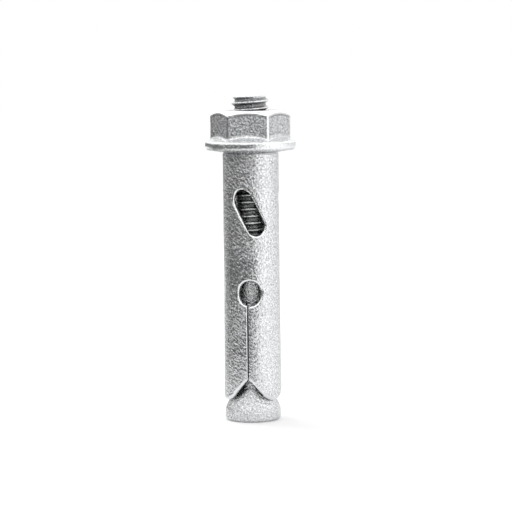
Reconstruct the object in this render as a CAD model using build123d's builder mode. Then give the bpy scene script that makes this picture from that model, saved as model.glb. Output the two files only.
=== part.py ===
from build123d import *
import os
from math import asin, atan2, cos, degrees, radians, sin, tan

# Expansion anchor: a cone-ended bolt inside a slotted sheet-steel sleeve, held by a hexagon flange nut.
# It stands on the flat face of its cone end. The origin is the centre of that face and +Z runs up the
# bolt to the nut. The round hole and leaning slot that show best face -Y. Lengths are in millimetres,
# angles in degrees, and heights are measured from the end face.

# Bolt
thread_diameter = 8.15
thread_length = 32.7
thread_pitch = 1.5
thread_run_in = 0.45
thread_tip_chamfer = 0.65
thread_protrusion = 3.05
head_length = 2.45
head_edge_height = 0.55
head_edge_width = 0.45
head_shoulder_round = 0.8
cone_half_angle = 24.2
cone_neck_round = 4.0

# Sleeve
sleeve_length = 52.6
sleeve_wall = 0.9
petal_count = 3
slit_width = 0.3
hole_diameter = 5.3
slot_width = 4.25
slot_centre_distance = 6.3
slot_lean = 29.0
slot_to_sleeve_end = 12.6
hole_to_slot = 17.05
window_lead = 5.0
tongue_tip_radius = 4.1
tongue_flank_angle = 46.7

# Flange nut
hex_across_flats = 14.9
nut_height = 8.8
hex_chamfer_angle = 30.0
hex_chamfer_height = 1.1
flange_overhang = 1.1
flange_rim_thickness = 0.95
flange_crown_angle = 28.0
flange_rim_bevel = 0.2
bearing_rise = 0.5
bearing_bevel_width = 0.4
bearing_bevel_rise = 0.62
serration_count = 60
serration_depth = 0.2
serration_angle = 100.0
bore_countersink = 0.45

# Clearances between the pieces
sleeve_gap = 1.025
cone_clearance = 0.1
head_relief = 0.05
seat_clearance = 0.05
bore_clearance = 0.06
bearing_margin = 0.2

# How far a cutting tool reaches past the surface it cuts
overcut = 1.0

# Depth from a 60 degree thread's crest to its pitch line, as a share of the pitch
flank_half_depth = 0.3248

# Radii that follow from the driving dimensions
thread_radius = thread_diameter / 2
shank_radius = thread_radius - flank_half_depth * thread_pitch
sleeve_inner_radius = thread_radius + sleeve_gap
sleeve_radius = sleeve_inner_radius + sleeve_wall
head_radius = sleeve_radius - head_relief
bore_radius = thread_radius + bore_clearance
hex_corner_radius = hex_across_flats / 2 / cos(radians(30.0))
flange_radius = hex_corner_radius + flange_overhang

# Heights that follow from the driving dimensions
cone_slope = tan(radians(cone_half_angle))
cone_top = head_length + (head_radius - shank_radius) / cone_slope
tongue_tip_height = head_length + (head_radius - sleeve_inner_radius + cone_clearance) / cone_slope
sleeve_end = tongue_tip_height + sleeve_length
slot_height = sleeve_end - slot_to_sleeve_end
hole_height = slot_height - hole_to_slot
nut_seat = sleeve_end + seat_clearance
nut_top = nut_seat + nut_height
bolt_length = nut_top + thread_protrusion
thread_start = bolt_length - thread_length

# Directions round the axis, as angles from +X
window_angles = [-90.0 + 360.0 / petal_count * step for step in range(petal_count)]
slit_angles = [angle - window_lead for angle in window_angles]
seam_angle = slit_angles[-1]


def wall_plane(angle, distance=0.0):
    """Upright plane that faces outwards at this angle, with local x to the right and local y up."""
    outward = (cos(radians(angle)), sin(radians(angle)), 0)
    rightward = (-sin(radians(angle)), cos(radians(angle)), 0)
    origin = (distance * outward[0], distance * outward[1], 0)
    return Plane(origin=origin, x_dir=rightward, z_dir=outward)


def tongue_edge_height(angle_from_middle):
    """Height of a petal's edge at an angle from the petal's middle: a round tip with straight flanks."""
    reach = radians(abs(angle_from_middle)) * sleeve_radius
    flank = radians(tongue_flank_angle)
    round_reach = tongue_tip_radius * sin(flank)
    if reach <= round_reach:
        return tongue_tip_height + tongue_tip_radius * (1 - cos(asin(reach / tongue_tip_radius)))
    round_rise = tongue_tip_radius * (1 - cos(flank))
    return tongue_tip_height + round_rise + (reach - round_reach) * tan(flank)


# Bolt: flared cone end, plain shank and threaded end, turned from one bar
with BuildPart() as bolt:
    with BuildSketch(Plane.XZ) as bolt_profile:
        with BuildLine():
            Polyline(
                (0, 0),
                (head_radius - head_edge_width, 0),
                (head_radius, head_edge_height),
                (head_radius, head_length),
                (shank_radius, cone_top),
                (shank_radius, thread_start - thread_run_in),
                (thread_radius, thread_start),
                (thread_radius, bolt_length - thread_tip_chamfer),
                (thread_radius - thread_tip_chamfer, bolt_length),
                (0, bolt_length),
                close=True,
            )
        make_face()
        shoulder = bolt_profile.vertices().sort_by_distance((head_radius, head_length, 0))[0]
        fillet(shoulder, radius=head_shoulder_round)
        neck = bolt_profile.vertices().sort_by_distance((shank_radius, cone_top, 0))[0]
        fillet(neck, radius=cone_neck_round)
    revolve(axis=Axis.Z)

# Gap between two petals: cut radially, from the slit's mouth out to the middle of each petal
half_petal = 180.0 / petal_count
gap_steps = 10
gap_inner_distance = sleeve_inner_radius * cos(radians(half_petal)) - sleeve_wall / 2
gap_outer_distance = sleeve_radius + overcut


def gap_side(distance, side):
    """Points of one side of the gap's top edge, from the slit to the petal's middle."""
    turns = [half_petal * step / gap_steps for step in range(gap_steps + 1)]
    return [(side * distance * tan(radians(turn)), tongue_edge_height(half_petal - turn)) for turn in turns]


with BuildPart() as petal_gap:
    for distance in (gap_inner_distance, gap_outer_distance):
        with BuildSketch(wall_plane(0.0, distance)):
            with BuildLine():
                right_edge = Spline(*gap_side(distance, 1))
                left_edge = Spline(*gap_side(distance, -1))
                half_width = distance * tan(radians(half_petal))
                Polyline(right_edge @ 1, (half_width, 0), (-half_width, 0), left_edge @ 1)
            make_face()
    loft(ruled=True)

# Sleeve: rolled sheet with slit petals, round holes, leaning slots and one open seam
with BuildPart() as sleeve:
    with BuildSketch(Plane.XY):
        Circle(sleeve_radius)
        Circle(sleeve_inner_radius, mode=Mode.SUBTRACT)
    extrude(amount=sleeve_end)
    for angle in slit_angles:
        with Locations(Location((0, 0, 0), (0, 0, angle))):
            add(petal_gap.part, mode=Mode.SUBTRACT)
    for angle in window_angles:
        with BuildSketch(wall_plane(angle)):
            with Locations((0, hole_height)):
                Circle(hole_diameter / 2)
            with Locations((0, slot_height)):
                SlotCenterToCenter(slot_centre_distance, slot_width, rotation=90.0 + slot_lean)
        extrude(amount=sleeve_radius + overcut, mode=Mode.SUBTRACT)
    for angle in slit_angles:
        slit_top = sleeve_end + overcut if angle == seam_angle else hole_height
        with BuildSketch(wall_plane(angle)):
            with Locations((0, slit_top / 2)):
                Rectangle(slit_width, slit_top)
        extrude(amount=sleeve_radius + overcut, mode=Mode.SUBTRACT)

# Hexagon of the nut: its top corners are turned off at a flat cone
chamfer_foot = nut_top - hex_chamfer_height
chamfer_width = hex_chamfer_height / tan(radians(hex_chamfer_angle))
with BuildPart() as hexagon:
    with BuildSketch(Plane.XY.offset(nut_seat + bearing_rise + bearing_bevel_rise)):
        RegularPolygon(hex_corner_radius, 6)
    extrude(amount=nut_top - nut_seat - bearing_rise - bearing_bevel_rise)
    with BuildSketch(Plane.XZ):
        with BuildLine():
            Polyline(
                (0, 0),
                (hex_corner_radius, 0),
                (hex_corner_radius, chamfer_foot),
                (hex_corner_radius - chamfer_width, nut_top),
                (0, nut_top),
                close=True,
            )
        make_face()
    revolve(axis=Axis.Z, mode=Mode.INTERSECT)

# One serration: a shallow groove that runs outwards along the cone of the bearing face
bearing_inner_radius = sleeve_radius + bearing_margin
bearing_outer_radius = flange_radius - bearing_bevel_width
bearing_angle = degrees(atan2(bearing_rise, bearing_outer_radius - bearing_inner_radius))
groove_half_width = (serration_depth + overcut) * tan(radians(serration_angle / 2))
groove_direction = (cos(radians(bearing_angle)), 0, sin(radians(bearing_angle)))
with BuildPart() as groove:
    with BuildSketch(
        Plane(origin=(bearing_inner_radius, 0, nut_seat), x_dir=(0, 1, 0), z_dir=groove_direction)
    ):
        with BuildLine():
            Polyline(
                (0, serration_depth),
                (groove_half_width, -overcut),
                (-groove_half_width, -overcut),
                close=True,
            )
        make_face()
    extrude(amount=flange_overhang + bearing_outer_radius - bearing_inner_radius)

# Flange nut: hexagon on a round flange with a slightly coned, serrated bearing face
rim_bottom = nut_seat + bearing_rise + bearing_bevel_rise
rim_top = rim_bottom + flange_rim_thickness
crown_height = rim_top + (flange_radius - bore_radius) * tan(radians(flange_crown_angle))
with BuildPart() as flange_nut:
    with BuildSketch(Plane.XZ) as flange_profile:
        with BuildLine():
            Polyline(
                (0, nut_seat),
                (bearing_inner_radius, nut_seat),
                (bearing_outer_radius, nut_seat + bearing_rise),
                (flange_radius, rim_bottom),
                (flange_radius, rim_top),
                (bore_radius, crown_height),
                (0, crown_height),
                close=True,
            )
        make_face()
        for rim_height in (rim_bottom, rim_top):
            rim_corner = flange_profile.vertices().sort_by_distance((flange_radius, rim_height, 0))[0]
            chamfer(rim_corner, length=flange_rim_bevel)
    revolve(axis=Axis.Z)
    add(hexagon.part)
    with PolarLocations(0, serration_count):
        add(groove.part, mode=Mode.SUBTRACT)
    with BuildSketch(Plane.XZ):
        with BuildLine():
            Polyline(
                (0, nut_seat - overcut),
                (bore_radius + bore_countersink + overcut, nut_seat - overcut),
                (bore_radius, nut_seat + bore_countersink),
                (bore_radius, nut_top - bore_countersink),
                (bore_radius + bore_countersink + overcut, nut_top + overcut),
                (0, nut_top + overcut),
                close=True,
            )
        make_face()
    revolve(axis=Axis.Z, mode=Mode.SUBTRACT)

bolt.part.label = "bolt"
sleeve.part.label = "sleeve"
flange_nut.part.label = "flange_nut"

os.makedirs("parts", exist_ok=True)
export_step(bolt.part, "parts/bolt.step")
export_step(sleeve.part, "parts/sleeve.step")
export_step(flange_nut.part, "parts/flange_nut.step")
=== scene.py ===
from math import atan2, ceil, cos, hypot, pi, radians, sin, sqrt, tan

import bpy
import numpy as np
from mathutils import Matrix, Vector, noise
from mathutils.geometry import delaunay_2d_cdt


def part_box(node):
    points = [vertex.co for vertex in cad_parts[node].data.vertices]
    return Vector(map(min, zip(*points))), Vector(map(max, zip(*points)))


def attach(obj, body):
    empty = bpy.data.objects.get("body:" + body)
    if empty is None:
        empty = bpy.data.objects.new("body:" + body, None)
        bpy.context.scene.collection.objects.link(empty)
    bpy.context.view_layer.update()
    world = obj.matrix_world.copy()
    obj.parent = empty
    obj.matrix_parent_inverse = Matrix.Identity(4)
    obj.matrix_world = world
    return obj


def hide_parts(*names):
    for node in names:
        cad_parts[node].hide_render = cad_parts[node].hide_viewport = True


# Expansion anchor of hot-dip galvanised steel: a cone-ended bolt with a real thread, a sleeve that is
# punched flat and rolled, and a flange nut with a serrated bearing face. Lengths are in metres.

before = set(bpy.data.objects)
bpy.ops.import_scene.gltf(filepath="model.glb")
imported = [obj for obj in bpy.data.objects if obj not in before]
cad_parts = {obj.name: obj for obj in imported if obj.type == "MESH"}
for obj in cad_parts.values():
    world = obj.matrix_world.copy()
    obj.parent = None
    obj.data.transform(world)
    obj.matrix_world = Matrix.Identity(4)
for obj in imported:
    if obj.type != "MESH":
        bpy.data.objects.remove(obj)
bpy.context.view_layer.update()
mm = 0.001

# Sizes read from the frame
bolt_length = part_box("bolt")[1].z
sleeve_low, sleeve_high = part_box("sleeve")
nut_low, nut_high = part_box("flange_nut")
tongue_tip_height = sleeve_low.z
sleeve_end = sleeve_high.z
nut_seat = nut_low.z
nut_top = nut_high.z
sleeve_radius = sleeve_high.x
flange_radius = nut_high.x

# Thread
thread_radius = 4.075 * mm
thread_pitch = 1.5 * mm
thread_depth = 0.68 * mm
thread_crest_width = thread_pitch / 8
thread_flank_slope = sqrt(3.0)
thread_phase = 0.6 * mm
thread_length = 32.7 * mm
thread_fade = 1.5 * mm
thread_tip_chamfer = 0.65 * mm
thread_softness = 0.12 * mm
thread_rows_per_pitch = 20

# Marks on the thread at these depths below its crest: pale crests, partly a painted highlight and partly
# wear, and dark roots, partly painted shade and partly dross
thread_mark_depths = [0.0, 0.09 * mm, 0.25 * mm, 0.7 * mm]
thread_root_shade = [0.0, 0.3, 0.9, 1.0]
thread_crest_highlights = [0.8, 0.3, 0.0, 0.0]

# Bolt; a cut is the length taken off each side of a rounded corner
shank_radius = 3.588 * mm
head_relief = 0.05 * mm
head_length = 2.45 * mm
head_edge_height = 0.55 * mm
head_edge_width = 0.45 * mm
head_foot_cut = 0.12 * mm
head_edge_cut = 0.2 * mm
head_shoulder_cut = 0.6 * mm
cone_half_angle = radians(24.2)
cone_neck_cut = 0.9 * mm
bolt_columns = 96
end_face_rings = 7
end_face_start = 0.97

# Sleeve
sleeve_wall = 0.9 * mm
slit_width = 0.3 * mm
hole_radius = 2.65 * mm
slot_radius = 2.12 * mm
slot_centre_distance = 6.3 * mm
slot_lean = radians(29.0)
slot_to_sleeve_end = 12.6 * mm
hole_to_slot = 17.05 * mm
petal_count = 3
window_lead = radians(5.0)
tongue_tip_radius = 4.1 * mm
tongue_flank_angle = radians(46.7)
flare_height = 28.0 * mm
flare_slope = 0.006

# Cut edges of the sleeve: rounded by the zinc, with a low bead just inside them
outer_edge_reach = 0.5 * mm
outer_edge_drop = 0.4 * mm
slit_edge_reach = 0.16 * mm
inner_edge_drop = 0.12 * mm
edge_bead_height = 0.03 * mm
edge_bead_sharpness = 4.0

# Cut edges carry a painted highlight, fading out at this many times the reach of their rounding
edge_highlight_end = 1.3

# Points of the sleeve's flat blank
edge_steps = 4
edge_spacing = 0.11 * mm
least_edge_steps = 2
sheet_spacing = 0.32 * mm
outline_tolerance = 0.002 * mm
cut_tolerance = 0.001 * mm
merge_distance = 1e-7

# Flange nut
hex_side_count = 6
hex_flat_distance = 7.45 * mm
hex_edge_round = 0.5 * mm
hex_chamfer_angle = radians(30.0)
hex_chamfer_height = 1.1 * mm
flange_rim_thickness = 0.95 * mm
flange_crown_angle = radians(28.0)
bearing_rise = 0.5 * mm
bearing_bevel_width = 0.4 * mm
bearing_bevel_rise = 0.62 * mm
bearing_margin = 0.2 * mm
bearing_step = 0.04 * mm
serration_count = 60
serration_depth = 0.2 * mm
serration_angle = radians(100.0)
bore_countersink = 0.5 * mm
thread_clearance = 0.07 * mm
bore_foot_cut = 0.1 * mm
bearing_edge_cut = 0.15 * mm
rim_cut = 0.3 * mm
crown_cut = 0.45 * mm
chamfer_cut = 0.15 * mm
top_edge_cut = 0.25 * mm
bore_top_cut = 0.15 * mm
nut_thread_rows_per_pitch = 10

# Columns of the nut: even ones, and closer ones round each upright edge
nut_columns_per_serration = 8
corner_columns = 9
corner_spread = radians(3.0)
least_column_gap = radians(0.1)

# Painted highlight and painted shade on the hexagon's upright edges, counterclockwise from +X: a highlight
# above zero and shade below it
hex_edge_light_and_shade = [1.0, 1.0, 1.0, 1.0, -0.8, 1.0]
corner_highlight_reach = 0.3 * mm
corner_shade_reach = 0.15 * mm
side_mark_start = 0.5 * mm
# Painted shade along the line just below the hexagon's chamfer
chamfer_line_shade = 0.8

# The painted highlight and shade of an upright edge fade out at this many times their reach
corner_mark_end = 1.5

# Points on each rounded corner of a section
arc_points = 5

# Uneven zinc coat: depth and wavelength of its swells, and the heavier lumps on the thread and the rim
coat_swells = [(0.03 * mm, 4.0 * mm), (0.02 * mm, 1.4 * mm)]
thread_lump_scale = 0.7
thread_lump_share = 5.0
rim_lump_scale = 0.8
rim_lump_share = 3.0

# Zinc: specks of colour, painted shade in recesses and a painted highlight on smooth edges, a slanted
# crinkle and wide patches in which the crinkle is deeper or flatter
speck_size = 0.35 * mm
speck_range = (0.36, 0.64)
painted_shade_tone = 0.35
edge_highlight_colour = (0.93, 0.94, 0.95)
crinkle_slant = radians(45.0)
patch_size = 11.0 * mm
patch_range = (0.35, 0.65)
patch_contrast = 0.3
zinc_finishes = {
    "bolt_zinc": {
        "dark": (0.62, 0.63, 0.64),
        "light": (0.97, 0.98, 0.99),
        "stretch": 1.2,
        "crinkle_size": 0.45 * mm,
        "crinkle_depth": 0.32 * mm,
        "edge_crinkle": 0.45,
        "roughness": (0.2, 0.32),
    },
    "sleeve_zinc": {
        "dark": (0.50, 0.51, 0.52),
        "light": (0.92, 0.93, 0.94),
        "stretch": 1.6,
        "crinkle_size": 0.46 * mm,
        "crinkle_depth": 0.24 * mm,
        "edge_crinkle": 0.4,
        "roughness": (0.09, 0.2),
    },
    "nut_zinc": {
        "dark": (0.31, 0.32, 0.33),
        "light": (0.82, 0.83, 0.84),
        "stretch": 1.0,
        "crinkle_size": 0.36 * mm,
        "crinkle_depth": 0.26 * mm,
        "edge_crinkle": 0.2,
        "roughness": (0.1, 0.2),
    },
}

# World and floor
white = (1.0, 1.0, 1.0, 1.0)
world_seen = 1.0
world_light = 0.95
world_in_metal = 0.76
floor_reach = 3.0
floor_tone = (0.9, 0.9, 0.9)
floor_lift = 0.15

# Dark cards on the left, in panels from one azimuth to the next, in degrees
card_steps = 12
card_low = 0.001
dark_distance = 0.6
dark_split = 0.03
dark_high = 0.13
dark_high_share = 0.4
dark_azimuths = [-71, -100, -130, -160, -190, -220, -250]
dark_tones = [0.15, 0.15, 0.14, 0.15, 0.22, 0.32]
foot_start = 0.065
foot_tone = 0.18

# Bright cards: first and last azimuth in degrees, distance and height of two edges, and tone
bright_distance = 0.3
bright_cards = {
    "bright_foot": (dark_azimuths[0], 50, [(0.02, card_low), (bright_distance, card_low)], 1.12),
    "bright_card": (-50, 5, [(bright_distance, card_low), (bright_distance, 0.3)], 1.3),
    "bright_low": (5, 40, [(bright_distance, card_low), (bright_distance, 0.045)], 1.1),
    "bright_back": (50, 125, [(bright_distance, 0.1), (bright_distance, 0.3)], 1.3),
    "bright_ceiling": (0, 360, [(0.001, 0.5), (0.7, 0.5)], 1.35),
}

# Lamp
lamp_place = (-0.35, 0.3, 0.6)
lamp_size = 0.4
lamp_power = 1.2

# Camera, fitted to the photograph's frame of 512 x 512 pixels
sensor_width = 36.0
lens_length = 153.9
camera_azimuth = radians(4.48)
camera_side_step = 0.92 * mm
camera_distance = 464.4 * mm
camera_height = 76.3 * mm
camera_pitch = radians(5.083)
camera_roll = radians(-0.617)
camera_near = 0.01
camera_far = 20.0

# Bolt sizes that follow
head_radius = sleeve_radius - head_relief
thread_start = bolt_length - thread_length

# Sleeve sizes that follow; the flat blank runs once round, from the seam to the seam
blank_width = 2 * pi * sleeve_radius
half_petal = pi / petal_count * sleeve_radius
slot_height = sleeve_end - slot_to_sleeve_end
hole_height = slot_height - hole_to_slot
window_angles = [-pi / 2 + 2 * pi * step / petal_count for step in range(petal_count)]
slit_angles = [angle - window_lead for angle in window_angles]
seam_angle = slit_angles[-1]

# Nut sizes that follow
hex_corner_radius = hex_flat_distance / cos(pi / 6)
chamfer_radius = hex_corner_radius - hex_chamfer_height / tan(hex_chamfer_angle)
bearing_inner_radius = sleeve_radius + bearing_margin
bearing_outer_radius = flange_radius - bearing_bevel_width
rim_bottom = nut_seat + bearing_rise + bearing_bevel_rise
rim_top = rim_bottom + flange_rim_thickness
bore_radius = thread_radius + thread_clearance


def soft_min(first, second, softness):
    """The lower of two values, with the change from one to the other rounded off."""
    return 0.5 * (first + second - np.sqrt((first - second) ** 2 + softness**2))


def soft_max(first, second, softness):
    """The higher of two values, with the change from one to the other rounded off."""
    return 0.5 * (first + second + np.sqrt((first - second) ** 2 + softness**2))


def coat_swelling(points):
    """How far the uneven zinc coat stands out at each point, never above zero."""
    places = [Vector(point) for point in points.reshape(-1, 3).tolist()]
    total = np.zeros(len(places))
    for depth, wave in coat_swells:
        total += (np.array([noise.noise(place / wave) for place in places]) - 1.0) * 0.5 * depth
    return total.reshape(points.shape[:-1])


def coat_lumps(points, scale, share):
    """Swelling of the same kind with its waves changed by a scale, and its depth by scale and share."""
    return coat_swelling(points / scale) * scale * share


def add_mesh(name, points, faces):
    """Mesh object in the scene."""
    mesh = bpy.data.meshes.new(name)
    mesh.from_pydata(points, [], faces)
    thing = bpy.data.objects.new(name, mesh)
    bpy.context.scene.collection.objects.link(thing)
    return thing


def add_material(thing, name):
    """Nodes and links of a new material on an object."""
    material = bpy.data.materials.new(name)
    material.use_nodes = True
    thing.data.materials.append(material)
    return material.node_tree.nodes, material.node_tree.links


def new_piece(name, points, faces, edges, recesses, body, node):
    """A smooth-shaded mesh that rides on a body and stands for that body's node.

    edges says how much each point lies on a smooth edge, with a smoother crinkle and a painted highlight,
    and recesses how much painted shade it gets, both from 0 to 1.
    """
    piece = add_mesh(name, points, faces)
    piece.data.shade_smooth()
    for label, values in (("edge", edges), ("recess", recesses)):
        marks = piece.data.attributes.new(label, "FLOAT", "POINT")
        marks.data.foreach_set("value", np.asarray(values, np.float32))
    piece.data.update()
    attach(piece, body)
    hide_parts(node)
    return piece


def rounded_section(corners, cuts, fills):
    """Points along a section whose corners are rounded off.

    corners has the shape (columns, corners, 2). cuts gives how far each corner is cut back along its
    sides. fills gives how many points lie on the straight stretch after each corner.
    """
    arc_shares = np.linspace(0.0, 1.0, arc_points)
    stretches = []
    for index, cut in enumerate(cuts):
        corner = corners[:, index]
        if cut == 0.0:
            stretches.append([corner])
            continue
        before = corners[:, index - 1] - corner
        after = corners[:, (index + 1) % len(cuts)] - corner
        start = corner + before * (cut / np.linalg.norm(before, axis=1, keepdims=True))
        end = corner + after * (cut / np.linalg.norm(after, axis=1, keepdims=True))
        arc = [(1 - s) ** 2 * start + 2 * s * (1 - s) * corner + s**2 * end for s in arc_shares]
        stretches.append(arc)
    section = []
    for index, stretch in enumerate(stretches):
        section.extend(stretch)
        goal = stretches[(index + 1) % len(stretches)][0]
        for step in range(1, fills[index] + 1):
            section.append(stretch[-1] + (goal - stretch[-1]) * step / (fills[index] + 1))
    return np.stack(section, axis=1)


def grid_faces(rings, columns, closed):
    """Faces between neighbouring rings of points; the last ring also meets the first one if closed."""
    lower = np.arange(rings if closed else rings - 1)[:, None] * columns
    upper = (lower + columns) % (rings * columns)
    here = np.arange(columns)[None, :]
    following = (here + 1) % columns
    quads = np.stack([lower + here, lower + following, upper + following, upper + here], axis=-1)
    return quads.reshape(-1, 4).tolist()


def revolved_points(angles, radii, heights):
    """Points at these radii and heights, with x, y and z along the last axis."""
    return np.stack([radii * np.cos(angles), radii * np.sin(angles), heights], axis=-1)


def thread_surface(angles, heights, allowance):
    """Radius of the right-hand thread at each angle and height, moved outwards by an allowance."""
    turns = (heights - thread_phase) / thread_pitch - angles / (2 * pi)
    offset = np.abs(turns - np.round(turns)) * thread_pitch
    flank = thread_radius - (offset - thread_crest_width / 2) * thread_flank_slope
    crest_side = soft_min(flank, thread_radius, thread_softness)
    return soft_max(crest_side, thread_radius - thread_depth, thread_softness) + allowance


def turned_rings():
    """Radii and heights of the rings of the cone end and the shank, up to the thread."""
    cone_top = head_length + (head_radius - shank_radius) / tan(cone_half_angle)
    corners = np.array([[
        (0.0, 0.0),
        (head_radius - head_edge_width, 0.0),
        (head_radius, head_edge_height),
        (head_radius, head_length),
        (shank_radius, cone_top),
        (shank_radius, thread_start),
    ]])
    cuts = [0.0, head_foot_cut, head_edge_cut, head_shoulder_cut, cone_neck_cut, 0.0]
    fills = [6, 0, 5, 10, 80, 0]
    section = rounded_section(corners, cuts, fills)[0, 1:]
    return section[:, :1], section[:, 1:]


def thread_rings(angles):
    """Radii and heights of the thread's rings; it fades in from the shank and ends in a soft chamfer."""
    row_height = thread_pitch / thread_rows_per_pitch
    row_count = ceil(thread_length / row_height)
    heights = np.linspace(thread_start, bolt_length, row_count + 1)[1:, None]
    radii = thread_surface(angles, heights, 0.0)
    fade = np.clip((heights - thread_start) / thread_fade, 0.0, 1.0)
    radii = shank_radius + (radii - shank_radius) * fade
    tip_limit = thread_radius - thread_tip_chamfer - (heights - bolt_length)
    return soft_min(radii, tip_limit, thread_softness), heights


def build_bolt():
    """Bolt with a flared cone end, a plain shank and a rounded, galvanised thread."""
    angles = np.linspace(0, 2 * pi, bolt_columns, endpoint=False)[None, :]
    turned_radii, turned_heights = turned_rings()
    threaded, thread_heights = thread_rings(angles)
    end_shares = np.linspace(end_face_start, 0.0, end_face_rings + 1)[:-1, None]
    end_radii = threaded[-1].mean() * end_shares
    radii = np.vstack([
        np.repeat(turned_radii, bolt_columns, axis=1),
        threaded,
        np.repeat(end_radii, bolt_columns, axis=1),
    ])
    heights = np.vstack([turned_heights, thread_heights, np.full_like(end_radii, bolt_length)])
    heights = np.repeat(heights, bolt_columns, axis=1)
    angles = np.repeat(angles, len(radii), axis=0)

    points = revolved_points(angles, radii, heights)
    on_thread = (heights > thread_start + thread_fade) * 1.0
    lumps = coat_lumps(points, thread_lump_scale, thread_lump_share) * on_thread
    swelling = (coat_swelling(points) + lumps) * (heights > 0)
    points = revolved_points(angles, radii + swelling, heights)
    # Marks away from the tip: partly painted highlight and partly wear on the crests, partly painted shade
    # and partly dross in the roots
    below_crest = thread_radius - radii
    marked = on_thread * (heights < bolt_length - thread_tip_chamfer / 2)
    recesses = np.interp(below_crest, thread_mark_depths, thread_root_shade) * marked
    edges = np.interp(below_crest, thread_mark_depths, thread_crest_highlights) * marked

    # The middle points of both end faces come last
    end_points = [(0.0, 0.0, 0.0), (0.0, 0.0, bolt_length)]
    points = points.reshape(-1, 3).tolist() + end_points
    bottom = len(points) - 2
    top = len(points) - 1
    last_ring = bottom - bolt_columns
    faces = grid_faces(len(radii), bolt_columns, closed=False)
    for column in range(bolt_columns):
        following = (column + 1) % bolt_columns
        faces.append((bottom, following, column))
        faces.append((top, last_ring + column, last_ring + following))
    recesses = np.append(recesses, np.zeros(len(end_points)))
    edges = np.append(edges, np.zeros(len(end_points)))
    return new_piece("threaded_bolt", points, faces, edges, recesses, "bolt", "bolt")


def blank_line(angle):
    """Distance along the flat blank, from the seam, of the upright line that lies at this angle."""
    return (angle - seam_angle) % (2 * pi) * sleeve_radius


def across_from(angle, across):
    """Signed distance across the flat blank from the upright line that lies at this angle."""
    return (across - blank_line(angle) + blank_width / 2) % blank_width - blank_width / 2


def slot_ends():
    """Half of the slot's centre line, across and up; the upper end leans to the left seen from outside."""
    return -sin(slot_lean) * slot_centre_distance / 2, cos(slot_lean) * slot_centre_distance / 2


def petal_reach(across, height):
    """Distance from the centre of a petal's round tip, measured towards the nearest part of its edge."""
    below = tongue_tip_height + tongue_tip_radius - height
    side = np.abs(across)
    straight = side * sin(tongue_flank_angle) + below * cos(tongue_flank_angle)
    on_tip = np.arctan2(side, below) < tongue_flank_angle
    return np.where(on_tip, np.hypot(side, below), straight)


def blank_distance(across, height):
    """Distance into the flat blank from its nearest cut edge, and below zero outside the sheet."""
    distance = sleeve_end - height
    reach = np.full_like(distance, np.inf)
    for slit_angle in slit_angles:
        petal = across_from(slit_angle + pi / petal_count, across)
        reach = np.minimum(reach, petal_reach(petal, height))
        beside = np.abs(across_from(slit_angle, across))
        above = 0.0 if slit_angle == seam_angle else np.maximum(height - hole_height, 0.0)
        distance = np.minimum(distance, np.hypot(beside, above) - slit_width / 2)
    distance = np.minimum(distance, tongue_tip_radius - reach)
    end_across, end_up = slot_ends()
    for window_angle in window_angles:
        beside = across_from(window_angle, across)
        distance = np.minimum(distance, np.hypot(beside, height - hole_height) - hole_radius)
        up = height - slot_height
        along = (beside * end_across + up * end_up) / (end_across**2 + end_up**2)
        along = np.clip(along, -1.0, 1.0)
        to_slot = np.hypot(beside - along * end_across, up - along * end_up)
        distance = np.minimum(distance, to_slot - slot_radius)
    return distance


def edge_reach(across, height):
    """How far the rounding of the nearest cut edge reaches: less along the slits than elsewhere."""
    beside = np.full_like(height, np.inf)
    for slit_angle in slit_angles:
        beside = np.minimum(beside, np.abs(across_from(slit_angle, across)))
    for window_angle in window_angles:
        to_hole = np.hypot(across_from(window_angle, across), height - hole_height) - hole_radius
        beside = np.where(to_hole < outer_edge_reach, np.inf, beside)
    share = np.clip((beside - slit_width / 2) / outer_edge_reach, 0.0, 1.0)
    return slit_edge_reach + (outer_edge_reach - slit_edge_reach) * share


def spaced_line(start, end):
    """Points along a straight cut edge."""
    steps = max(least_edge_steps, round(hypot(end[0] - start[0], end[1] - start[1]) / edge_spacing))
    shares = np.linspace(0.0, 1.0, steps + 1)[:, None]
    return np.array(start) + shares * (np.array(end) - np.array(start))


def spaced_arc(centre, radius, first, last):
    """Points along a round cut edge between two angles."""
    steps = max(least_edge_steps, round(abs(last - first) * radius / edge_spacing))
    turns = np.linspace(first, last, steps + 1)
    return np.stack([centre[0] + radius * np.cos(turns), centre[1] + radius * np.sin(turns)], axis=1)


def window_runs(line, level):
    """Edges of a round hole and of the leaning slot above it, moved into the sheet by a level."""
    end_across, end_up = slot_ends()
    lean = atan2(end_up, end_across)
    runs = [spaced_arc((line, hole_height), hole_radius + level, 0.0, 2 * pi)]
    for side in (-1, 1):
        centre = (line + side * end_across, slot_height + side * end_up)
        middle = lean if side > 0 else lean + pi
        runs.append(spaced_arc(centre, slot_radius + level, middle - pi / 2, middle + pi / 2))
        shift = side * (slot_radius + level)
        offset = (-shift * sin(lean), shift * cos(lean))
        first = (line + end_across + offset[0], slot_height + end_up + offset[1])
        last = (line - end_across + offset[0], slot_height - end_up + offset[1])
        runs.append(spaced_line(first, last))
    return runs


def petal_runs(line, slit_top, level):
    """Edges of a slit and of the petal that follows it, moved into the sheet by a level."""
    runs = []
    for side in (-1, 1):
        beside = (line + side * (slit_width / 2 + level)) % blank_width
        runs.append(spaced_line((beside, tongue_tip_height), (beside, slit_top)))
    tip = (line + half_petal, tongue_tip_height + tongue_tip_radius)
    radius = tongue_tip_radius - level
    flank = tongue_flank_angle
    runs.append(spaced_arc(tip, radius, -pi / 2 - flank, -pi / 2 + flank))
    for side in (-1, 1):
        foot = (tip[0] + side * radius * sin(flank), tip[1] - radius * cos(flank))
        runs.append(spaced_line(foot, (foot[0] + side * half_petal, foot[1] + half_petal * tan(flank))))
    return runs


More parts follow.
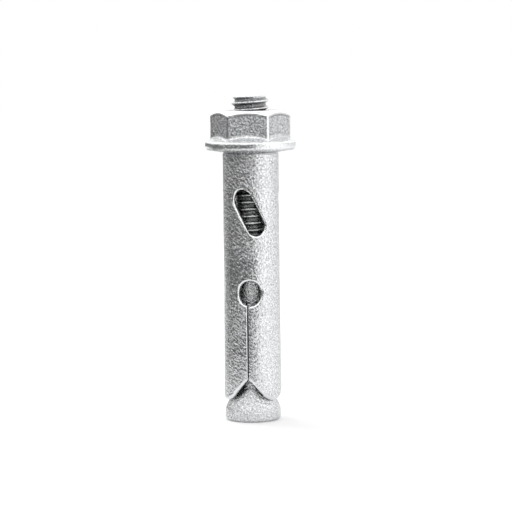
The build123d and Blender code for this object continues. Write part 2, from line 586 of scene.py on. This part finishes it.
def outline_points(level):
    """Points of the blank's cut edges, all moved into the sheet by a level.

    A hole or slot that the seam crosses goes on at the blank's other end, one turn away.
    """
    runs = [spaced_line((0.0, sleeve_end - level), (blank_width, sleeve_end - level))]
    for window_angle in window_angles:
        runs += window_runs(blank_line(window_angle), level)
    for slit_angle in slit_angles:
        slit_top = sleeve_end - level if slit_angle == seam_angle else hole_height
        runs += petal_runs(blank_line(slit_angle), slit_top, level)
    points = np.vstack(runs)
    points = np.vstack([points + (turn, 0.0) for turn in (-blank_width, 0.0, blank_width)])
    off_level = blank_distance(points[:, 0], points[:, 1]) - level
    inside = (points[:, 0] > 0.0) & (points[:, 0] < blank_width)
    return points[(np.abs(off_level) < outline_tolerance) & inside]


def sheet_points():
    """Evenly spaced points of the blank, well inside its cut edges."""
    row_step = sheet_spacing * sin(pi / 3)
    rows = []
    for row, height in enumerate(np.arange(tongue_tip_height, sleeve_end, row_step)):
        across = np.arange(0.0, blank_width, sheet_spacing) + (row % 2) * sheet_spacing / 2
        rows.append(np.stack([across, np.full_like(across, height)], axis=1))
    points = np.vstack(rows)
    depth = blank_distance(points[:, 0], points[:, 1])
    return points[depth > outer_edge_reach + sheet_spacing / 2]


def cut_blank():
    """Points of the flat blank, closer along its cut edges, and the triangles between them."""
    edge_angles = np.linspace(0.0, pi / 2, edge_steps + 1)
    levels = outer_edge_reach * (1.0 - np.cos(edge_angles))
    points = np.vstack([outline_points(level) for level in levels] + [sheet_points()])
    result = delaunay_2d_cdt([Vector(point) for point in points.tolist()], [], [], 0, merge_distance)
    points = np.array([tuple(point) for point in result[0]])
    triangles = np.array(result[2])
    middles = points[triangles].mean(axis=1)
    return points, triangles[blank_distance(middles[:, 0], middles[:, 1]) > cut_tolerance]


def sheet_faces(triangles, count):
    """Faces of a sheet: its outer surface, its inner one turned over, and a wall along each cut edge."""
    faces = triangles.tolist() + (triangles[:, ::-1] + count).tolist()
    sides = [tuple(side) for side in triangles[:, [0, 1, 1, 2, 2, 0]].reshape(-1, 2).tolist()]
    all_sides = set(sides)
    for first, second in sides:
        if (second, first) not in all_sides:
            faces.append((second, first, first + count, second + count))
    return faces


def build_sleeve():
    """Sleeve cut as a flat blank with rounded edges, then rolled so that its ends meet at the seam."""
    blank, triangles = cut_blank()
    across = blank[:, 0]
    heights = blank[:, 1]
    depth = blank_distance(across, heights)
    reach = edge_reach(across, heights)
    share = np.clip(depth / reach, 0.0, 1.0)
    drop = 1.0 - np.sqrt(1.0 - (1.0 - share) ** 2)
    bead = edge_bead_height * np.exp(-((depth / reach - 1.0) ** 2) * edge_bead_sharpness)
    outer_drop = outer_edge_drop * reach / outer_edge_reach
    flare = flare_slope * np.maximum(flare_height - heights, 0.0)
    outer_radii = sleeve_radius - edge_bead_height + bead - outer_drop * drop + flare
    inner_radii = sleeve_radius - sleeve_wall + inner_edge_drop * drop + flare
    angles = seam_angle + across / sleeve_radius
    surfaces = []
    for radii in (outer_radii, inner_radii):
        swelling = coat_swelling(revolved_points(angles, radii, heights))
        surfaces.append(revolved_points(angles, radii + swelling, heights))

    points = np.vstack(surfaces).tolist()
    faces = sheet_faces(triangles, len(blank))
    # Painted highlight on the outer cut edges, and painted shade over the whole inner surface
    outer_edge_highlights = np.clip(edge_highlight_end - depth / reach, 0.0, 1.0)
    edges = np.append(outer_edge_highlights, np.zeros(len(blank)))
    recesses = np.append(np.zeros(len(blank)), np.ones(len(blank)))
    return new_piece("expansion_sleeve", points, faces, edges, recesses, "sleeve", "sleeve")


def from_hex_corner(angles):
    """Angle between each direction and the hexagon's nearest upright edge."""
    return np.abs((angles + pi / 6) % (pi / 3) - pi / 6)


def hex_radius(angles):
    """Radius of the hexagon's side at each angle, with its upright edges rounded."""
    from_corner = from_hex_corner(angles)
    flat = hex_flat_distance / np.cos(pi / 6 - from_corner)
    centre = (hex_flat_distance - hex_edge_round) / cos(pi / 6)
    inside_arc = np.maximum(hex_edge_round**2 - (centre * np.sin(from_corner)) ** 2, 0.0)
    arc = centre * np.cos(from_corner) + np.sqrt(inside_arc)
    arc_end = pi / 6 - atan2((hex_flat_distance - hex_edge_round) * tan(pi / 6), hex_flat_distance)
    return np.where(from_corner < arc_end, arc, flat)


def nut_angles():
    """Columns of the nut: even ones for the serrations and closer ones at the hexagon's edges."""
    even = np.linspace(-pi, pi, serration_count * nut_columns_per_serration, endpoint=False)
    near_corner = np.linspace(-1.0, 1.0, corner_columns) * corner_spread
    half_turn = hex_side_count // 2
    corners = [corner * pi / half_turn + near_corner for corner in range(-half_turn, half_turn)]
    angles = np.concatenate([even] + corners)
    angles = np.sort((angles + pi) % (2 * pi) - pi)
    return angles[np.concatenate([[True], np.diff(angles) > least_column_gap])]


def ring_marks(rows):
    """How much each ring of a rounded section is a smooth edge with a painted highlight, for rows as
    nut_rings has them.
    """
    marks = []
    for _, _, cut, fill, corner_mark, stretch_mark in rows:
        marks += [corner_mark] * (arc_points if cut else 1) + [stretch_mark] * fill
    return np.array(marks)


def nut_rings(angles):
    """Radii and heights of the nut's rings, and their marks as smooth edges with painted highlights.

    The rings go from the bore's lower end out and up to its upper end. The last result is the number of
    the ring just below the hexagon's chamfer, which gets a line of painted shade.
    """
    side = hex_radius(angles)
    crown = rim_top + (flange_radius - side) * tan(flange_crown_angle)
    chamfer_foot = nut_top - hex_chamfer_height
    chamfer = chamfer_foot + (hex_corner_radius - side) * tan(hex_chamfer_angle)

    # A row holds a corner's radius and height, its cut, the points on the stretch that follows it, and
    # the marks of the corner and of that stretch as a smooth edge with a painted highlight
    lower_rows = [
        (bore_radius - bore_countersink, nut_seat + 2 * bore_countersink, 0.0, 2, 0.0, 0.0),
        (bore_radius + bore_countersink, nut_seat, bore_foot_cut, 1, 0.0, 0.0),
        (bearing_inner_radius, nut_seat, 0.0, 0, 0.0, 0.0),
        (bearing_inner_radius + bearing_step, nut_seat, 0.0, 8, 0.0, 0.0),
        (bearing_outer_radius, nut_seat + bearing_rise, bearing_edge_cut, 3, 0.4, 0.3),
        (flange_radius, rim_bottom, rim_cut, 2, 0.8, 0.8),
        (flange_radius, rim_top, rim_cut, 5, 0.8, 0.4),
        (side, crown, crown_cut, 14, 0.5, 0.0),
    ]
    upper_rows = [
        (side, chamfer, chamfer_cut, 4, 1.0, 0.6),
        (chamfer_radius, nut_top, top_edge_cut, 6, 1.0, 0.0),
        (bore_radius + bore_countersink, nut_top, bore_top_cut, 2, 0.0, 0.0),
        (bore_radius - bore_countersink, nut_top - 2 * bore_countersink, 0.0, 0, 0.0, 0.0),
    ]
    rows = lower_rows + upper_rows
    every_column = np.ones(len(angles))
    corners = [np.stack([every_column * row[0], every_column * row[1]], axis=1) for row in rows]
    cuts = [row[2] for row in rows]
    fills = [row[3] for row in rows]
    section = rounded_section(np.stack(corners, axis=1), cuts, fills)
    below_chamfer = len(ring_marks(lower_rows)) - 1
    return section[:, :, 0].T, section[:, :, 1].T, ring_marks(rows), below_chamfer


def serrated_heights(angles, radii, heights):
    """Heights of the nut's rings with the serrations cut up into the bearing face."""
    spacing = 2 * pi / serration_count
    beside = np.abs((angles + spacing / 2) % spacing - spacing / 2)[None, :] * radii
    slope = bearing_rise / (bearing_outer_radius - bearing_inner_radius)
    roof = nut_seat + slope * (radii - bearing_inner_radius) + serration_depth
    roof = roof - beside / tan(serration_angle / 2)
    under = (heights < rim_bottom) & (radii > bearing_inner_radius + bearing_step / 2)
    return np.where(under, np.maximum(heights, roof), heights)


def add_bore_rings(radii, heights):
    """The nut's rings with those of its bore added, from the upper countersink down to the lower one."""
    columns = radii.shape[1]
    top_row = heights[-1, 0]
    low_row = heights[0, 0]
    rows = ceil((top_row - low_row) / thread_pitch * nut_thread_rows_per_pitch)
    bore_heights = np.linspace(top_row, low_row, rows + 1)[1:-1, None]
    radii = np.vstack([radii, np.zeros((rows - 1, columns))])
    heights = np.vstack([heights, np.repeat(bore_heights, columns, axis=1)])
    return radii, heights


def corner_light_and_shade(angles, radii, heights):
    """How much painted highlight and how much painted shade each point gets on the hexagon's upright
    edges.
    """
    from_corner = from_hex_corner(angles) * hex_corner_radius
    bright = np.clip(corner_mark_end - from_corner / corner_highlight_reach, 0.0, 1.0)[None, :]
    dark = np.clip(corner_mark_end - from_corner / corner_shade_reach, 0.0, 1.0)[None, :]
    on_side = (heights > rim_top + side_mark_start) & (radii > chamfer_radius)
    nearest = np.round(angles / (2 * pi) * hex_side_count).astype(int) % hex_side_count
    edge_light = np.array(hex_edge_light_and_shade)[nearest][None, :]
    return bright * on_side * np.maximum(edge_light, 0.0), dark * on_side * np.maximum(-edge_light, 0.0)


def build_nut():
    """Flange nut: hexagon, crowned flange, serrated bearing face and threaded bore."""
    angles = nut_angles()
    radii, heights, marks, below_chamfer = nut_rings(angles)
    heights = serrated_heights(angles, radii, heights)
    radii, heights = add_bore_rings(radii, heights)
    turned_angles = np.repeat(angles[None, :], len(radii), axis=0)
    thread = thread_surface(turned_angles, heights, thread_clearance)
    in_bore = radii < bore_radius + bore_countersink
    radii = np.where(in_bore, soft_max(radii, thread, thread_softness), radii)

    corner_highlights, corner_shades = corner_light_and_shade(angles, radii, heights)
    # Painted highlights on smooth edges and bright upright edges; painted shade in the bore, on the dark
    # upright edge and along the line below the chamfer
    marks = np.append(marks, np.zeros(len(radii) - len(marks)))[:, None]
    edges = np.maximum(marks, corner_highlights)
    recesses = np.maximum(in_bore * 1.0, corner_shades)
    recesses[below_chamfer] = chamfer_line_shade

    points = revolved_points(turned_angles, radii, heights)
    on_rim = (radii > bearing_outer_radius) & (heights > nut_seat + bearing_rise)
    swelling = coat_swelling(points) * (radii > bearing_inner_radius)
    swelling = swelling + coat_lumps(points, rim_lump_scale, rim_lump_share) * on_rim
    points = revolved_points(turned_angles, radii + swelling, heights).reshape(-1, 3).tolist()
    faces = grid_faces(len(radii), len(angles), closed=True)
    edges = edges.reshape(-1)
    recesses = recesses.reshape(-1)
    return new_piece("serrated_nut", points, faces, edges, recesses, "nut", "flange_nut")


def noise_pattern(nodes, links, place, size, detail, roughness, distortion):
    """Value of a noise whose blotches are about this size."""
    texture = nodes.new("ShaderNodeTexNoise")
    texture.inputs["Scale"].default_value = 1.0 / size
    texture.inputs["Detail"].default_value = detail
    texture.inputs["Roughness"].default_value = roughness
    texture.inputs["Distortion"].default_value = distortion
    links.new(place, texture.inputs["Vector"])
    return texture.outputs["Fac"]


def remapped(nodes, links, value, start, end, low=0.0, high=1.0):
    """Value that goes from start to end while the given one goes from low to high."""
    node = nodes.new("ShaderNodeMapRange")
    node.inputs["From Min"].default_value = low
    node.inputs["From Max"].default_value = high
    node.inputs["To Min"].default_value = start
    node.inputs["To Max"].default_value = end
    links.new(value, node.inputs["Value"])
    return node.outputs["Result"]


def mesh_mark(nodes, label):
    """Value of a mark that the mesh carries."""
    mark = nodes.new("ShaderNodeAttribute")
    mark.attribute_name = label
    return mark.outputs["Fac"]


def zinc_colour(nodes, links, specks, dark, light):
    """Specked colour with painted shade in recesses and a painted highlight on smooth edges."""
    ramp = nodes.new("ShaderNodeValToRGB")
    for element, position, colour in zip(ramp.color_ramp.elements, speck_range, (dark, light)):
        element.position = position
        element.color = (*colour, 1.0)
    links.new(specks, ramp.inputs["Fac"])
    # Painted shade: the colour is darkened where the mesh marks a recess
    shade = remapped(nodes, links, mesh_mark(nodes, "recess"), 1.0, painted_shade_tone)
    shaded = nodes.new("ShaderNodeVectorMath")
    shaded.operation = "SCALE"
    links.new(ramp.outputs["Color"], shaded.inputs[0])
    links.new(shade, shaded.inputs["Scale"])
    # Painted highlight: smooth edges take a pale colour
    highlighted = nodes.new("ShaderNodeMix")
    highlighted.data_type = "RGBA"
    highlighted.inputs["B"].default_value = (*edge_highlight_colour, 1.0)
    links.new(mesh_mark(nodes, "edge"), highlighted.inputs["Factor"])
    links.new(shaded.outputs["Vector"], highlighted.inputs["A"])
    return highlighted.outputs["Result"]


def zinc_skin(nodes, links, place, stretch, crinkle_size, crinkle_depth, edge_crinkle):
    """Bumps of a slanted crinkle, deeper in some patches than in others and shallower on smooth edges."""
    slant = nodes.new("ShaderNodeMapping")
    slant.vector_type = "TEXTURE"
    slant.inputs["Rotation"].default_value = (0.0, crinkle_slant, 0.0)
    slant.inputs["Scale"].default_value = (stretch, 1.0, 1.0)
    links.new(place, slant.inputs["Vector"])
    slanted = slant.outputs["Vector"]
    crinkle = noise_pattern(nodes, links, slanted, crinkle_size, detail=2.0, roughness=0.5, distortion=0.6)
    patches = noise_pattern(nodes, links, place, patch_size, detail=1.0, roughness=0.5, distortion=0.0)
    shallow = crinkle_depth * (1.0 - patch_contrast)
    deep = crinkle_depth * (1.0 + patch_contrast)
    patchy = remapped(nodes, links, patches, shallow, deep, *patch_range)
    smoother = remapped(nodes, links, mesh_mark(nodes, "edge"), 1.0, edge_crinkle)
    depth = nodes.new("ShaderNodeMath")
    depth.operation = "MULTIPLY"
    links.new(patchy, depth.inputs[0])
    links.new(smoother, depth.inputs[1])
    bump = nodes.new("ShaderNodeBump")
    bump.inputs["Strength"].default_value = 1.0
    links.new(depth.outputs["Value"], bump.inputs["Distance"])
    links.new(crinkle, bump.inputs["Height"])
    return bump.outputs["Normal"]


def zinc_material(piece, name, dark, light, stretch, crinkle_size, crinkle_depth, edge_crinkle, roughness):
    """Hot-dip zinc: specked grey metal with a crinkled skin, smoother and with a painted highlight on
    edges, and with painted shade in recesses.
    """
    nodes, links = add_material(piece, name)
    shader = nodes["Principled BSDF"]
    shader.inputs["Metallic"].default_value = 1.0
    place = nodes.new("ShaderNodeTexCoord").outputs["Object"]
    specks = noise_pattern(nodes, links, place, speck_size, detail=3.0, roughness=0.6, distortion=0.3)
    links.new(zinc_colour(nodes, links, specks, dark, light), shader.inputs["Base Color"])
    links.new(remapped(nodes, links, specks, *roughness), shader.inputs["Roughness"])
    skin = zinc_skin(nodes, links, place, stretch, crinkle_size, crinkle_depth, edge_crinkle)
    links.new(skin, shader.inputs["Normal"])


def level_for_ray(nodes, links, ray, level, otherwise):
    """One level for a kind of ray, and another level, a number or a socket, for the rest."""
    choice = nodes.new("ShaderNodeMix")
    choice.data_type = "FLOAT"
    choice.inputs["B"].default_value = level
    links.new(nodes["Light Path"].outputs[ray], choice.inputs["Factor"])
    if isinstance(otherwise, float):
        choice.inputs["A"].default_value = otherwise
    else:
        links.new(otherwise, choice.inputs["A"])
    return choice.outputs["Result"]


def white_world():
    """White surroundings for the camera, greyer ones for the metal, and an even light."""
    world = bpy.data.worlds.new("studio")
    world.use_nodes = True
    nodes = world.node_tree.nodes
    links = world.node_tree.links
    nodes.new("ShaderNodeLightPath")
    strength = level_for_ray(nodes, links, "Is Glossy Ray", world_in_metal, world_light)
    strength = level_for_ray(nodes, links, "Is Transmission Ray", world_seen, strength)
    strength = level_for_ray(nodes, links, "Is Camera Ray", world_seen, strength)
    background = nodes["Background"]
    background.inputs["Color"].default_value = white
    links.new(strength, background.inputs["Strength"])
    world.cycles.sampling_method = "NONE"
    bpy.context.scene.world = world


def plain_floor():
    """Floor that the camera sees as white and that keeps the anchor's soft shadow."""
    corners = [(-floor_reach, -floor_reach, 0), (floor_reach, -floor_reach, 0)]
    corners += [(floor_reach, floor_reach, 0), (-floor_reach, floor_reach, 0)]
    floor = add_mesh("floor", corners, [(0, 1, 2, 3)])
    nodes, links = add_material(floor, "floor_white")
    shader = nodes["Principled BSDF"]
    shader.inputs["Base Color"].default_value = (*floor_tone, 1.0)
    shader.inputs["Roughness"].default_value = 1.0
    shader.inputs["Specular IOR Level"].default_value = 0.0
    shader.inputs["Emission Color"].default_value = white
    nodes.new("ShaderNodeLightPath")
    lift = level_for_ray(nodes, links, "Is Camera Ray", floor_lift, 0.0)
    links.new(lift, shader.inputs["Emission Strength"])


def studio_card(name, first, last, profile, tone):
    """Curved card round the anchor that only shows in the metal.

    It runs from the first azimuth to the last, in degrees, and profile lists its distances and heights.
    """
    points = []
    for step in range(card_steps + 1):
        angle = radians(first) + (radians(last) - radians(first)) * step / card_steps
        points += [(distance * cos(angle), distance * sin(angle), height) for distance, height in profile]
    rows = len(profile)
    faces = []
    for step in range(card_steps):
        for row in range(rows - 1):
            corner = step * rows + row
            faces.append((corner, corner + rows, corner + rows + 1, corner + 1))
    card = add_mesh(name, points, faces)
    nodes, links = add_material(card, name)
    nodes.remove(nodes["Principled BSDF"])
    glow = nodes.new("ShaderNodeEmission")
    glow.inputs["Color"].default_value = white
    glow.inputs["Strength"].default_value = tone
    links.new(glow.outputs["Emission"], nodes["Material Output"].inputs["Surface"])
    card.visible_camera = False
    card.visible_diffuse = False
    card.visible_shadow = False
    card.visible_transmission = False


def dark_cards():
    """Dark surroundings of the metal on the left: far panels in two heights, and a foot on the floor.

    The foot ends one panel before the last.
    """
    low_profile = [(dark_distance, card_low), (dark_distance, dark_split)]
    high_profile = [(dark_distance, dark_split), (dark_distance, dark_high)]
    for panel, tone in enumerate(dark_tones):
        first, last = dark_azimuths[panel:panel + 2]
        studio_card(f"dark_low_{panel}", first, last, low_profile, tone)
        studio_card(f"dark_high_{panel}", first, last, high_profile, tone * dark_high_share)
    foot_profile = [(foot_start, card_low), (dark_distance, card_low)]
    studio_card("dark_foot", dark_azimuths[0], dark_azimuths[-2], foot_profile, foot_tone)


def soft_lamp(name, place, size, power):
    """Square lamp that points at the anchor's middle."""
    light = bpy.data.lights.new(name, "AREA")
    light.shape = "SQUARE"
    light.size = size
    light.energy = power
    lamp = bpy.data.objects.new(name, light)
    bpy.context.scene.collection.objects.link(lamp)
    lamp.location = place
    aim = Vector((0.0, 0.0, bolt_length / 2)) - lamp.location
    lamp.rotation_euler = aim.to_track_quat("-Z", "Y").to_euler()


def photo_camera():
    """Camera that sees the anchor as the photograph does."""
    data = bpy.data.cameras.new("camera")
    data.sensor_fit = "HORIZONTAL"
    data.sensor_width = sensor_width
    data.lens = lens_length
    data.clip_start = camera_near
    data.clip_end = camera_far
    camera = bpy.data.objects.new("camera", data)
    bpy.context.scene.collection.objects.link(camera)
    turn = Matrix.Rotation(camera_azimuth, 4, "Z")
    place = Matrix.Translation((camera_side_step, -camera_distance, camera_height))
    tilt = Matrix.Rotation(pi / 2 - camera_pitch, 4, "X")
    roll = Matrix.Rotation(camera_roll, 4, "Z")
    camera.matrix_world = turn @ place @ tilt @ roll
    bpy.context.scene.camera = camera


pieces = {
    "bolt_zinc": build_bolt(),
    "sleeve_zinc": build_sleeve(),
    "nut_zinc": build_nut(),
}
for slot, piece in pieces.items():
    zinc_material(piece, slot, **zinc_finishes[slot])
white_world()
plain_floor()
dark_cards()
for name, (first, last, profile, tone) in bright_cards.items():
    studio_card(name, first, last, profile, tone)
soft_lamp("lamp_left", lamp_place, lamp_size, lamp_power)
photo_camera()
bpy.context.scene.view_settings.view_transform = "Standard"
